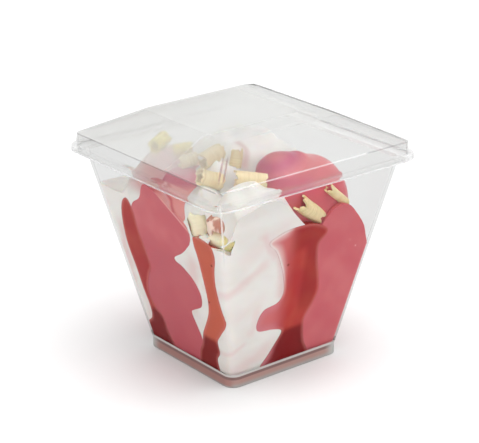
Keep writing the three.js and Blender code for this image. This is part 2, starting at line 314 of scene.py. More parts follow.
# Fromage frais
# The white filling is smooth whipped curd that was dropped in by a nozzle: it fills the pot,
# presses flat against the walls and stands up in soft mounds. It reaches just into the walls
# here, so that no air shows between them.
WHITE_PROUD = 0.1
FILL_BOTTOM = floor_top - WHITE_PROUD
FILL_CELLS = 150
HEIGHT_PASSES = 3
FILL_LEVEL = 61
FAR_DIP = {"x": 40, "y": -38, "deep": 26, "reach": 30}
BOWL = {"x": -36, "y": -28, "floor": 57.5, "rise": 12, "reach_x": 8.2, "reach_y": 15}
MOUNDS = [
    {"x": 3, "y": 3, "top": 81, "wide": 24},
    {"x": -23, "y": 10, "top": 77.5, "wide": 16},
    {"x": -17, "y": -9, "top": 77, "wide": 14},
    {"x": -18, "y": -29, "top": 73.8, "wide": 18},
    {"x": -26.5, "y": -15, "top": 72.5, "wide": 10},
    {"x": 20, "y": 22, "top": 71, "wide": 22},
]

# The curls that lie against the walls are placed here, because the food has nests for them.
# Each is rolled round the line from one point to another, with its outside turned one way.
OUT = Vector((-0.6, -0.75, 0.3))
WALL_CURLS = {
    "wall": {"at": (-30.9, -16, 63.6), "to": (-30.1, -17.9, 57), "radius": 3.8, "turns": 1.1,
             "torn": 2, "faces": OUT},
    "corner": {"at": (-30.6, -23.6, 57.8), "to": (-26.4, -30.6, 55.4), "radius": 3.2, "turns": 0.8,
               "torn": 2, "faces": OUT},
}

# A nest is a little narrower and shorter than its curl, so that no dark gap shows round the
# curl, and it opens towards the wall.
OUT_TO_WALL = {"wall": Vector((-4, -4.5, 0.3)), "corner": Vector((-4, -4, 1))}
NEST_INSET = 0.6
MOUND_DROP = 17
SWIRL = {"depth": 0.7, "arms": 2, "pitch": 10}
VALLEY = 1.5
LUMP_HIGH = 0.5
LUMP_WIDE = 7


def inner_half(z):
    return wall_half(z) - WALL


def inner_radius(z):
    return wall_radius(z) - WALL


def fill_height(x, y):
    """The white filling's top: a sloping fill with mounds on it, and a bowl where curls lie."""
    far = math.hypot(x - FAR_DIP["x"], y - FAR_DIP["y"]) / FAR_DIP["reach"]
    height = FILL_LEVEL - FAR_DIP["deep"] * math.exp(-far * far)
    for mound in MOUNDS:
        away = math.hypot(x - mound["x"], y - mound["y"])
        turn = SWIRL["arms"] * math.atan2(y - mound["y"], x - mound["x"])
        ridge = SWIRL["depth"] * math.cos(turn - 2 * math.pi * away / SWIRL["pitch"])
        top = mound["top"] - MOUND_DROP * (away / mound["wide"]) ** 2 + ridge
        height = smooth_max(height, top, VALLEY)
    height += LUMP_HIGH * noise.noise((x / LUMP_WIDE, y / LUMP_WIDE, 0))
    away = ((x - BOWL["x"]) / BOWL["reach_x"]) ** 2 + ((y - BOWL["y"]) / BOWL["reach_y"]) ** 2
    return min(height, BOWL["floor"] + BOWL["rise"] * away * away)


def smooth_max(first, second, soft):
    """The larger of two heights, with the valley between them filled softly."""
    span = max(soft - abs(first - second), 0) / soft
    return max(first, second) + span * span * soft / 4


def square_reach(angle, half, radius):
    """How far a square with round corners reaches in a direction."""
    c, s = abs(math.cos(angle)), abs(math.sin(angle))
    flat = half / max(c, s)
    centre = half - radius
    if min(c, s) * flat <= centre:
        return flat
    along = centre * (c + s)
    return along + math.sqrt(along * along - 2 * centre * centre + radius * radius)


def cut_nests(piece):
    """Cuts away the food round and in front of the curls that lie against the wall."""
    for name, sizes in WALL_CURLS.items():
        start, end = Vector(sizes["at"]) * MM, Vector(sizes["to"]) * MM
        axis = end - start
        bpy.ops.mesh.primitive_cylinder_add(
            vertices=32,
            radius=(sizes["radius"] - NEST_INSET) * MM,
            depth=axis.length - NEST_INSET * MM,
            location=(start + end) / 2,
            rotation=axis.to_track_quat("Z", "Y").to_euler(),
        )
        bpy.ops.object.transform_apply(location=True, rotation=True, scale=True)
        nest = bpy.context.object
        for vert in nest.data.vertices:
            if (vert.co - start).dot(OUT_TO_WALL[name]) > 0:
                vert.co += OUT_TO_WALL[name] * MM
        bpy.context.view_layer.objects.active = piece
        cut = piece.modifiers.new("nest", "BOOLEAN")
        cut.operation = "DIFFERENCE"
        cut.object = nest
        bpy.ops.object.modifier_apply(modifier=cut.name)
        bpy.data.objects.remove(nest)


bpy.ops.mesh.primitive_grid_add(x_subdivisions=FILL_CELLS, y_subdivisions=FILL_CELLS, size=2)
filling = bpy.context.object
filling.name = "white_filling"
bpy.ops.object.mode_set(mode="EDIT")
bpy.ops.mesh.extrude_region_move(TRANSFORM_OT_translate={"value": (0, 0, 1)})
bpy.ops.object.mode_set(mode="OBJECT")
for vert in filling.data.vertices:
    share = max(abs(vert.co.x), abs(vert.co.y))
    angle = math.atan2(vert.co.y, vert.co.x)
    z = FILL_BOTTOM
    if vert.co.z > 0.5:
        for _ in range(HEIGHT_PASSES):
            reach = share * square_reach(angle, inner_half(z) + WHITE_PROUD, inner_radius(z))
            z = fill_height(reach * math.cos(angle), reach * math.sin(angle))
    reach = share * square_reach(angle, inner_half(z) + WHITE_PROUD, inner_radius(z))
    vert.co = Vector((reach * math.cos(angle), reach * math.sin(angle), z)) * MM
bpy.ops.object.mode_set(mode="EDIT")
bpy.ops.mesh.select_all(action="SELECT")
bpy.ops.mesh.normals_make_consistent(inside=False)
bpy.ops.object.mode_set(mode="OBJECT")
cut_nests(filling)
bpy.ops.object.select_all(action="DESELECT")
filling.select_set(True)
bpy.ops.object.shade_smooth_by_angle(angle=math.radians(40))

WHITE = (0.80, 0.775, 0.74)
WHITE_SHADE = (0.76, 0.725, 0.685)
WHITE_HIGH = (0.72, 0.70, 0.66)
WHITE_TOP_PAINTED_LIGHT = (0.97, 0.95, 0.91)
BLUSH = (0.72, 0.45, 0.45)
SMEAR = (0.58, 0.12, 0.14)

# Pink strokes on the front and the left wall: from, to, half-width and strength, across and up.
FRONT_STROKES = [
    ((-22, 51), (-11, 57), 6.0, 0.25),
    ((-29, 38), (-16, 46), 3.2, 0.38),
    ((-24, 28), (-16, 33), 4.0, 0.15),
    ((-25, 13), (-20, 16), 2.0, 0.35),
    ((-20, 6), (-11, 11), 5.0, 0.38),
    ((-6.5, 33), (-9, 46), 3.5, 0.55),
    ((-10, 47), (-17, 56), 3.0, 0.50),
    ((-17, 21), (-16, 28), 3.0, 0.30),
]
LEFT_STROKES = [
    ((-27, 22), (-26, 46), 4.0, 0.55),
    ((-22, 6), (-19, 22), 3.0, 0.30),
    ((9, 28), (15, 44), 5.0, 0.50),
    ((28, 8), (31, 30), 5.0, 0.12),
]
TOP_STREAK = ((-6.5, 73), (-3, 78.5))
white = Finish("fromage frais")
wander = (white.noise(7, detail=2) - 0.5) * 6
on_front = white.y.fade(-15, -19)
on_left = white.x.fade(-15, -19)
blush = white.noise(9, detail=3).fade(0.58, 0.75) * 0.12
for first, last, wide, share in FRONT_STROKES:
    blush = blush.above(white.stroke(white.x + wander, first, last, wide) * on_front * share)
for first, last, wide, share in LEFT_STROKES:
    blush = blush.above(white.stroke(wander - white.y, first, last, wide) * on_left * share)
streak = white.stroke(white.x, *TOP_STREAK, 1.6) * white.y.fade(0, -3) * 0.7
blush = blush.above(streak)
clouds = white.noise(8, detail=2, place=white.stretched(2, 2, 1)).fade(0.4, 0.7)
whites = white.blend(clouds, WHITE, WHITE_SHADE)
whites = white.blend(white.z.fade(62, 70) * 0.8, whites, WHITE_HIGH)
# The tops of the mounds are painted lighter, as painted light.
whites = white.blend(white.z.fade(73, 77), whites, WHITE_TOP_PAINTED_LIGHT)
smeared = white.x.fade(-12, -18) * white.y.fade(24, 2) * white.y.fade(-6, -2) * white.z.fade(62, 68)
whites = white.blend(smeared * 0.65, whites, SMEAR)
grain = white.noise(1.2, detail=4) * 0.4 + white.noise(6, detail=2)
white_surface = white.surface({
    "Base Color": white.blend(blush, whites, BLUSH),
    "Roughness": 0.42,
    "Subsurface Weight": 0.25,
    "Subsurface Scale": 0.002,
    "Normal": white.bump(grain, 0.25, 0.35),
})
white.use_on(filling, white_surface)
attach(filling, "root")
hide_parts("fromage_frais")


# Coulis and mousse
# The fruit sauce ran down the walls in ribbons, and the pink mousse was piped beside it, so
# both show as flat shapes where they press against the plastic. Outlines are drawn on a wall
# seen from outside, across and up.
REMESH = 0.55
WALL_TURN = {"left": -math.pi / 2, "front": 0, "right": math.pi / 2, "back": math.pi}
OUTLINE_STEPS = 6
PRESS_REACH = 0.3
NOT_PRESSED = 99.0

LEFT_COULIS = [
    (-18.5, 60), (-22.2, 57), (-24.3, 50), (-24.6, 41), (-22.3, 31), (-21, 24), (-19.2, 17),
    (-19.7, 12.5), (-23.4, 9), (-24, 3), (-9, 3), (-11, 10), (-12, 15), (-16, 18.5),
    (-17.8, 24), (-15.5, 30.5), (-12.5, 35), (-13.2, 40), (-15.2, 48), (-16, 56),
]
LEFT_MOUSSE = [
    (-4, 69), (-7, 67.5), (-10, 62.5), (-16, 58), (-18, 48), (-17, 35), (-20, 24), (-16, 14),
    (-13, 3), (8, 3), (8, 9), (10.5, 14), (9, 19.5), (7.4, 24.2), (9.5, 26), (14.3, 28.8),
    (15.5, 33.5), (13, 38.5), (8, 42), (3.6, 43.8), (10, 48), (14.5, 52.5), (16, 57.5),
    (11, 61), (4, 66),
]
CORNER_COULIS = [
    (19, 57.2), (17.8, 54), (18.6, 49), (19, 42), (19.2, 34), (18, 28), (15.2, 23), (12, 18),
    (10, 13), (7.5, 9), (7, 3), (16.5, 3), (17.2, 9), (19.6, 12.5), (19.6, 17), (22.3, 20.5),
    (26.4, 26), (26, 32), (25.6, 40), (26.6, 46), (28.6, 52), (27, 56.5),
]
FRONT_COULIS = [
    (-15, 54), (-11.5, 50), (-9, 45), (-7, 40), (-5.5, 33), (-7.5, 29.2), (-13, 28),
    (-15.3, 24), (-14.5, 20), (-8, 18.8), (-3.8, 17.2), (-4.6, 14.5), (-8, 9), (-10.4, 3),
    (8.7, 3), (7.2, 10), (6.2, 15), (6, 19.5), (8.5, 24), (10.4, 29), (9.8, 34), (8, 41),
    (7.2, 48), (10, 51), (9.8, 53.5), (4, 56.6), (-4, 57.3), (-10, 56.5),
]
RIGHT_MOUSSE = [
    (9, 57.5), (5, 50), (5, 40), (6, 30), (4, 20), (4, 3), (34, 3), (38, 30), (36, 41),
    (30.5, 42), (27, 50), (23, 55.4), (18.5, 60), (14, 60.8),
]
MOUSSE_LEFT_LOBES = [(-25, -2, 60, 10, 12.5, 14), (-27, -9, 58.5, 9.5, 12, 10.5)]
CORNER_LOBES = [(-26.5, -25, 60.5, 6.5, 6.5, 5)]
MOUSSE_MOUND_LOBES = [
    (3, -20.5, 61, 13, 11.5, 17.5),
    (12, -20.5, 58, 15, 13, 17),
    (1, -19.5, 67.5, 8.5, 9, 11),
    (7, -20.5, 62, 10, 10.5, 15.5),
]
MOUSSE_SIDE_LOBES = [(26, -16, 22, 8, 9, 24), (24, -18, 38, 8, 7, 10), (22, -14, 10, 6, 6, 8)]


def smooth_outline(points):
    """A closed curve through the points of an outline."""
    bends = []
    for k, second in enumerate(points):
        first = points[k - 1]
        third = points[(k + 1) % len(points)]
        fourth = points[(k + 2) % len(points)]
        for step in range(OUTLINE_STEPS):
            t = step / OUTLINE_STEPS
            bends.append(tuple(
                ((2 * b) + (c - a) * t + (2 * a - 5 * b + 4 * c - d) * t * t
                 + (3 * b - a - 3 * c + d) * t * t * t) / 2
                for a, b, c, d in zip(first, second, third, fourth)
            ))
    return bends


def wall_slab(wall, points, depth):
    """An outline on a wall, drawn out to a depth inside it and leaned with the wall."""
    outline = smooth_outline(points)
    bpy.ops.mesh.primitive_circle_add(vertices=len(outline), radius=1, fill_type="NGON")
    slab = bpy.context.object
    for vert, (across, up) in zip(slab.data.vertices, outline):
        vert.co = (across * MM, 0, up * MM)
    bpy.ops.object.mode_set(mode="EDIT")
    bpy.ops.mesh.select_all(action="SELECT")
    bpy.ops.mesh.extrude_region_move(TRANSFORM_OT_translate={"value": (0, depth * MM, 0)})
    bpy.ops.mesh.select_all(action="SELECT")
    bpy.ops.mesh.normals_make_consistent(inside=False)
    bpy.ops.object.mode_set(mode="OBJECT")
    for vert in slab.data.vertices:
        vert.co.y -= (inner_half(vert.co.z / MM) + 1) * MM
    slab.data.transform(Matrix.Rotation(WALL_TURN[wall], 4, "Z"))
    return slab


def food_lobe(x, y, z, half_x, half_y, half_z):
    """A lobe of food: a ball drawn out to three half-sizes."""
    bpy.ops.mesh.primitive_uv_sphere_add(
        segments=48, ring_count=24, radius=MM, location=(x * MM, y * MM, z * MM)
    )
    bpy.context.object.scale = (half_x, half_y, half_z)
    bpy.ops.object.transform_apply(location=True, rotation=True, scale=True)
    return bpy.context.object


def press_to_walls(piece, proud):
    """Presses food flat where it meets the walls and the floor."""
    mesh = piece.data
    places = np.empty(len(mesh.vertices) * 3, np.float32)
    mesh.vertices.foreach_get("co", places)
    places = places.reshape(-1, 3) / MM
    z = np.clip(places[:, 2], floor_top - proud, None)
    radius = FOOT_RADIUS + (TOP_RADIUS - FOOT_RADIUS) * z / RIM_HEIGHT - WALL
    centre = FOOT_HALF + (z - FOOT_HEIGHT) * TAPER - WALL + proud - radius
    beyond = np.clip(np.abs(places[:, :2]) - centre[:, None], 0, None)
    far = np.maximum(np.hypot(beyond[:, 0], beyond[:, 1]), 1e-6)
    pressed = far > radius - PRESS_REACH
    share = np.where(pressed, radius / far, 1)
    inside = np.minimum(np.abs(places[:, :2]), centre[:, None])
    flat = inside + beyond * share[:, None]
    places[:, :2] = np.where(pressed[:, None], np.copysign(flat, places[:, :2]), places[:, :2])
    places[:, 2] = z
    mesh.vertices.foreach_set("co", (places * MM).ravel())
    mesh.update()
    return places, pressed


def keep_edge(piece, places, pressed, wall, points):
    """Keeps on the mesh how far in from the outline each point on the wall is."""
    outline = np.array(smooth_outline(points))
    turn = -WALL_TURN[wall]
    across = places[:, 0] * math.cos(turn) - places[:, 1] * math.sin(turn)
    spots = np.stack([across, places[:, 2]], 1)
    nearest = np.full(len(spots), NOT_PRESSED)
    for first, second in zip(outline, np.roll(outline, -1, 0)):
        along = second - first
        share = np.clip((spots - first) @ along / max(along @ along, 1e-9), 0, 1)
        gaps = spots - first - share[:, None] * along
        nearest = np.minimum(nearest, np.hypot(gaps[:, 0], gaps[:, 1]))
    edge = piece.data.attributes.new("edge", "FLOAT", "POINT")
    edge.data.foreach_set("value", np.where(pressed, nearest, NOT_PRESSED).astype(np.float32))


WALL_SOFT = 4
HEAP_SOFT = 40


def make_food(name, node, proud, parts, wall=None, outline=None, soft=WALL_SOFT):
    """Joins slabs and lobes into one soft piece, and presses it to the walls.

    The hidden sides repeat the outlines of the near ones, cut off at the filling's top.
    """
    bpy.ops.object.select_all(action="DESELECT")
    for part in parts:
        part.select_set(True)
    piece = parts[0]
    bpy.context.view_layer.objects.active = piece
    if len(parts) > 1:
        bpy.ops.object.join()
    piece.name = name
    melt = piece.modifiers.new("melt together", "REMESH")
    melt.mode = "VOXEL"
    melt.voxel_size = REMESH * MM
    bpy.ops.object.modifier_apply(modifier=melt.name)
    soften = piece.modifiers.new("soften", "SMOOTH")
    soften.iterations = soft
    soften.factor = 0.5
    bpy.ops.object.modifier_apply(modifier=soften.name)
    if name in ("left_mousse", "corner_coulis"):
        cut_nests(piece)
    if wall in ("right", "back"):
        for vert in piece.data.vertices:
            top = fill_height(vert.co.x / MM, vert.co.y / MM) + proud
            vert.co.z = min(vert.co.z, top * MM)
    places, pressed = press_to_walls(piece, proud)
    if outline:
        keep_edge(piece, places, pressed, wall, outline)
    bpy.ops.object.shade_smooth()
    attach(piece, "root")
    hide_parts(node)
    return piece


COULIS_PROUD = 0.22
COULIS_RED = (0.42, 0.032, 0.032)
COULIS_DARK = (0.185, 0.005, 0.007)
COULIS_LIGHT = (0.55, 0.10, 0.055)
COULIS_EDGE = (0.62, 0.20, 0.18)
COULIS_CORNER = (0.56, 0.13, 0.07)
COULIS_PINK = (0.62, 0.17, 0.18)
FADED_PINK = (0.60, 0.20, 0.23)
FADED_WHITE = (0.76, 0.55, 0.53)
FADED_RIM_PAINTED_LIGHT = (0.80, 0.67, 0.65)
SEED = (0.12, 0.02, 0.01)
HOLLOW_PAINTED_HIGHLIGHT = (0.82, 0.64, 0.54)
HOLLOW_PAINTED_SHADE = (0.47, 0.21, 0.15)
coulis = Finish("red coulis")

# The coulis is darkest where it lies thick at the foot, orange at the near corner and pink
# where it thins out on the front wall. A few seeds show in it.
depth = coulis.z.fade(18.5, 15.5)
reds = coulis.blend(coulis.noise(8, detail=2).fade(0.35, 0.75) * 0.4, COULIS_RED, COULIS_LIGHT)
on_left = coulis.x.fade(-12, -18)
near_corner = on_left * coulis.y.fade(0, -8)
reds = coulis.blend(near_corner * 0.7, reds, COULIS_CORNER)
reds = coulis.blend(on_left * coulis.y.fade(5, 12) * 0.2, reds, COULIS_DARK)
on_front = coulis.y.fade(-16, -20) * coulis.x.fade(-24, -20)
band = (coulis.x - 5.5).size().fade(5, 2) * coulis.z.fade(20, 26)
arch = (coulis.x - 2).size().fade(9, 5) * coulis.z.fade(46, 50)
reds = coulis.blend(on_front * band.above(arch) * 0.4, reds, COULIS_DARK)
reds = coulis.blend(on_front * coulis.x.fade(-1, -11) * 0.85, reds, COULIS_PINK)
seeds = coulis.node("TexVoronoi", {}, {"Vector": coulis.place, "Scale": 1 / (6 * MM)})
seed = Number(coulis, seeds.outputs["Distance"]).fade(0.1, 0.06)
coloured = coulis.blend(depth * 0.93, reds, COULIS_DARK)
edge = coulis.stored("edge").fade(1.6, 0.1)
coloured = coulis.blend(edge * 0.45, coloured, COULIS_EDGE)
fading = on_front * coulis.x.fade(-4, -9) * coulis.stored("edge").fade(4, 0.2)
faded = coulis.blend(coulis.z.fade(29, 33), FADED_PINK, FADED_WHITE)
coloured = coulis.blend(fading * 0.8, coloured, faded)
# The coulis's rim on the front wall is painted lighter, as painted light over the shade at its edge.
rim = coulis.z.fade(30, 34) * coulis.stored("edge").fade(1.2, 0.3)
coloured = coulis.blend(on_front * coulis.x.fade(-4, -9) * rim, coloured, FADED_RIM_PAINTED_LIGHT)

# The hollow by the near corner is painted: brown-red coulis in painted shade, with vertical
# streaks of painted highlight.
hollow = near_corner * coulis.z.fade(56.5, 58)
streaks = coulis.noise(2.2, detail=2, place=coulis.stretched(1, 1, 3)).fade(0.42, 0.6)
coloured = coulis.blend(hollow, coloured, coulis.blend(streaks, HOLLOW_PAINTED_SHADE, HOLLOW_PAINTED_HIGHLIGHT))
coulis_surface = coulis.surface({
    "Base Color": coulis.blend(seed * 0.8, coloured, SEED),
    "Roughness": 0.2,
    "Specular IOR Level": 0.1,
    "Subsurface Weight": 0.15,
    "Subsurface Scale": 0.0015,
    "Normal": coulis.bump(coulis.noise(3), 0.2, 0.3),
})

COULIS = [
    ("left_coulis", "coulis_left", "left", LEFT_COULIS, 7, []),
    ("corner_coulis", "coulis_corner", "left", CORNER_COULIS, 7, CORNER_LOBES),
    ("front_coulis", "coulis_front", "front", FRONT_COULIS, 8, []),
    ("back_coulis", "coulis_back", "back", CORNER_COULIS, 7, []),
    ("right_coulis", "coulis_right", "right", FRONT_COULIS, 8, []),
]
for name, node, wall, points, depth_in, lobes in COULIS:
    parts = [wall_slab(wall, points, depth_in)] + [food_lobe(*sizes) for sizes in lobes]
    piece = make_food(name, node, COULIS_PROUD, parts, wall, points)
    coulis.use_on(piece, coulis_surface)

MOUSSE_PROUD = 0.16
MOUSSE_PINK = (0.55, 0.095, 0.118)
MOUSSE_LIGHT = (0.60, 0.135, 0.15)
MOUSSE_SALMON_AND_HIGHLIGHT = (0.76, 0.32, 0.29)
MOUSSE_PAINTED_SHADE = (0.50, 0.035, 0.13)
HEAP_FOLD = ((-7, 73.6), (6, 77.4))
HEAP_FOLD_WIDE = 3
HEAP_FOLD_DEEP = 1.3
HEAP_FRONT = -14
INWARDS = Vector((0, 0.8, -0.6))
HEAP_HOLLOW = ((-6, 71), (4, 69))
RIDGE = ((0, 68.5), (17, 57.5))
MOUSSE_LOW = (0.49, 0.075, 0.10)
RIDGE_PAINTED_HIGHLIGHT = (0.84, 0.50, 0.46)
BUBBLE_LIGHT = (0.86, 0.60, 0.56)
mousse = Finish("pink mousse")

# The left wall's mousse is deeper at its foot and has painted shade at its top, with a
# painted highlight along its ridge and salmon with painted highlights above it.
pinks = mousse.blend(mousse.noise(14, detail=2).fade(0.35, 0.7), MOUSSE_PINK, MOUSSE_LIGHT)
on_left = mousse.x.fade(-12, -20)
pinks = mousse.blend(on_left * mousse.z.fade(52, 42) * 0.7, pinks, MOUSSE_LOW)
ridge = mousse.stroke(mousse.y * -1, *RIDGE, 0.8)
above_ridge = (mousse.z + (mousse.y * -0.69) - 69.5).fade(0, 1.5)
pinks = mousse.blend(above_ridge * on_left * 0.8, pinks, MOUSSE_SALMON_AND_HIGHLIGHT)
pinks = mousse.blend(ridge * on_left * 0.6, pinks, RIDGE_PAINTED_HIGHLIGHT)
pinks = mousse.blend(mousse.z.fade(68.5, 71) * on_left * 0.75, pinks, MOUSSE_PAINTED_SHADE)

# The heap is painted deeper in its fold and in the hollow under it, as painted shade, and a
# few small bubbles show against the wall at the right.
fold = mousse.stroke(mousse.x, *HEAP_FOLD, HEAP_FOLD_WIDE)
hollow = mousse.stroke(mousse.x, *HEAP_HOLLOW, 4) * 0.6
pinks = mousse.blend(fold.above(hollow) * mousse.y.fade(-12, -16), pinks, MOUSSE_PAINTED_SHADE)
flat_place = mousse.stretched(1, 50, 1)
cells = mousse.node("TexVoronoi", {}, {"Vector": flat_place, "Scale": 1 / (3.4 * MM)})
bubble = Number(mousse, cells.outputs["Distance"]).fade(0.14, 0.07)
at_right = mousse.x.fade(19, 27) * mousse.y.fade(-15, -19)
pinks = mousse.blend(bubble * at_right * 0.6, pinks, BUBBLE_LIGHT)
mousse_surface = mousse.surface({
    "Base Color": pinks,
    "Roughness": 0.32,
    "Specular IOR Level": 0.35,
    "Subsurface Weight": 0.2,
    "Subsurface Scale": 0.0015,
    "Normal": mousse.bump(mousse.noise(2, detail=4), 0.12, 0.25),
})


def press_fold(piece, first, last, wide, deep):
    """Presses a fold into the front of a piece, along a line across and up."""
    first, last = Vector(first), Vector(last)
    way = (last - first).normalized()
    for vert in piece.data.vertices:
        spot = Vector((vert.co.x, vert.co.z)) / MM - first
        along = max(0, min(spot.dot(way), (last - first).length))
        away = (spot - way * along).length / wide
        if away < 1 and vert.co.y < HEAP_FRONT * MM:
            vert.co += INWARDS * deep * MM * (1 - away * away) ** 2


MOUSSE = [
    ("left_mousse", "mousse_left", "left", LEFT_MOUSSE, 15, MOUSSE_LEFT_LOBES),
    ("right_mousse", "mousse_right", "front", RIGHT_MOUSSE, 15, MOUSSE_SIDE_LOBES),
    ("mousse_heap", "mousse_mound", None, None, 0, MOUSSE_MOUND_LOBES),
    ("back_mousse", "mousse_back", "back", LEFT_MOUSSE, 15, []),
]
for name, node, wall, points, depth_in, lobes in MOUSSE:
    parts = [food_lobe(*sizes) for sizes in lobes]
    if points:
        parts.insert(0, wall_slab(wall, points, depth_in))
    soft = WALL_SOFT if points else HEAP_SOFT
    piece = make_food(name, node, MOUSSE_PROUD, parts, wall, points, soft)
    if name == "mousse_heap":
        press_fold(piece, *HEAP_FOLD, HEAP_FOLD_WIDE, HEAP_FOLD_DEEP)
    mousse.use_on(piece, mousse_surface)


# White chocolate curls
# Each curl is a thin strip that was scraped off a block of white chocolate and rolled up as
# it came away, so its ends are ragged and fine scrape lines run round it.
CURL_ROUND = 64
CURL_ALONG = 24

# The strip's thickness, and how far it rolls inwards in one turn, are shares of the radius.
# OUTSIDE is the share of a turn between the strip's start and the side that the curl faces.
CURL_THICK = 0.24
CURL_PITCH = 0.27
OUTSIDE = 0.3
SWELL = 0.12
TEARS = [(9, 1.1), (23, 0.5)]
LINES_ROUND = 1.2
LINES_ALONG = 2.2
CURLS = {
    **WALL_CURLS,
    "tube": {"at": (-28.8, -14.8, 75), "to": (-21.5, -16.5, 71.8), "radius": 3, "turns": 1.2},
    "tall": {"at": (-22.4, -7.9, 76.9), "to": (-14.3, -7.1, 78.4), "radius": 3, "turns": 0.85,
             "faces": OUT},
    "right": {"at": (-18, -20, 73.2), "to": (-9.5, -25.5, 71.8), "radius": 2.8, "turns": 0.8,
              "faces": OUT},
    "upright": {"at": (-11, -11.2, 73.6), "to": (-9.6, -10.6, 78.8), "radius": 2.1, "turns": 0.9},
    "left": {"at": (-26.4, -0.6, 75.2), "to": (-20.4, -2.2, 76.3), "radius": 2.4, "turns": 0.8,
             "faces": OUT},
    "far": {"at": (-27.2, 12.4, 77.9), "to": (-20.5, 15.4, 78.9), "radius": 2.6, "turns": 1.2},
    "far_small": {"at": (-23.7, 5.9, 77.8), "to": (-18.1, 3.9, 77.8), "radius": 2.1, "turns": 1},
    "star": {"at": (-0.8, -31.8, 64.4), "to": (8, -30.9, 57.2), "radius": 3, "turns": 0.7,
             "torn": 2.4, "faces": OUT},
    "small": {"at": (11, -32.8, 67), "to": (19, -32.2, 59.7), "radius": 1.7, "turns": 0.8,
              "faces": OUT},
}

CREAM = (0.84, 0.70, 0.41)
CREAM_SHADE = (0.70, 0.54, 0.27)
CREAM_PAINTED_LIGHT = (0.97, 0.90, 0.70)
YELLOW = (0.98, 0.83, 0.16)
chocolate = Finish("white chocolate")
lines = chocolate.node("Attribute", {"attribute_name": "scrape"}).outputs["Vector"]
scrape = chocolate.noise(1, detail=3, place=lines)
creams = chocolate.blend(scrape.fade(0.35, 0.7), CREAM, CREAM_SHADE)
creams = chocolate.blend(chocolate.y.fade(1, 4) * 0.9, creams, YELLOW)
# Curls low by the left wall are painted lighter, as painted light where the pot shades them.
at_wall = chocolate.x.fade(-22, -26) * chocolate.z.fade(68, 65)
creams = chocolate.blend(at_wall * 0.7, creams, CREAM_PAINTED_LIGHT)
creams = chocolate.blend(at_wall * chocolate.y.fade(-28, -30) * 0.45, creams, YELLOW)
chocolate_surface = chocolate.surface({
    "Base Color": creams,
    "Roughness": 0.45,
    "Subsurface Weight": 0.2,
    "Subsurface Scale": 0.0012,
    "Normal": chocolate.bump(scrape, 0.2, 0.5),
})


def roll_curl(name, at, to, radius, turns, torn=1, faces=None):
    """Rolls a strip round the line between two points, with its outside to one side."""
    bpy.ops.mesh.primitive_grid_add(
        x_subdivisions=CURL_ROUND, y_subdivisions=CURL_ALONG, size=1
    )
    curl = bpy.context.object
    curl.name = "curl_" + name + "_roll"
    start = Vector(at)
    axis = Vector(to) - start
    length = axis.length
    seed = sum(map(ord, name))
    turn = axis.to_track_quat("Z", "Y")
    spin = 0
    if faces:
        side = turn.inverted() @ faces
        spin = math.atan2(side.y, side.x) - OUTSIDE * 2 * math.pi
    lines = curl.data.attributes.new("scrape", "FLOAT_VECTOR", "POINT")
    for vert, line in zip(curl.data.vertices, lines.data):
        turned = (vert.co.x + 0.5) * turns
        along = vert.co.y + 0.5
        line.vector = Vector((turned * LINES_ROUND, along * length * LINES_ALONG, seed)) * MM
        tear = sum(noise.noise((turned * often, round(along), seed)) * deep for often, deep in TEARS)
        ragged = torn * tear * (2 * along - 1) ** 4 * math.copysign(1, along - 0.5)
        swell = 1 + SWELL * noise.noise((turned * 2, along * 1.5, seed))
        reach = radius * (1 - CURL_PITCH * turned * turned) * swell
        angle = turned * 2 * math.pi + spin
        vert.co = (reach * math.cos(angle), reach * math.sin(angle), along * length + ragged)
    place = Matrix.Translation(start) @ turn.to_matrix().to_4x4()
    curl.data.transform(Matrix.Scale(MM, 4) @ place)
    thicken = curl.modifiers.new("strip", "SOLIDIFY")
    thicken.thickness = CURL_THICK * radius * MM
    thicken.offset = -1
    bpy.ops.object.modifier_apply(modifier=thicken.name)
    bpy.ops.object.mode_set(mode="EDIT")
    bpy.ops.mesh.select_all(action="SELECT")
    bpy.ops.mesh.normals_make_consistent(inside=False)
    bpy.ops.object.mode_set(mode="OBJECT")
    bpy.ops.object.shade_smooth_by_angle(angle=math.radians(45))
    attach(curl, "root")
    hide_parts("curl_" + name)
    return curl


for name, sizes in CURLS.items():
    chocolate.use_on(roll_curl(name, **sizes), chocolate_surface)


# Lid
# The lid is one thin sheet, formed over a mould: a lip that clips over the rim, a low wall,
# four slopes and a flat square top. It is less clear than the pot, with a milky haze.
GAP = 0.3
SHEET = 0.6
LID_TOP = 88.1
LID_TOP_HALF = 23.75
LID_TOP_RADIUS = 3.5
LID_EDGE = 79.0
LID_EDGE_HALF = 40.7
LID_EDGE_RADIUS = 2.5
LID_FOOT_HALF = 41.7
LID_FOOT_RADIUS = 5.0
LIP_TOP = RIM_HEIGHT + GAP + SHEET
LIP_BOTTOM = 73.0
LIP_HALF = 43.3
LIP_RADIUS = 6.3
LID_ROUNDING = 0.18
LID_SHARP = 24
HAZE_AND_REFLECTION = (0.58, 0.58, 0.56)
LIP_HAZE_AND_LIGHT = (0.9, 0.9, 0.9)
FOLD_PAINTED_HIGHLIGHT = (0.9, 0.9, 0.9)
FOLD_PAINTED_SHADE = (0.16, 0.15, 0.15)
HIP_PAINTED_SHADE = (0.30, 0.13, 0.12)

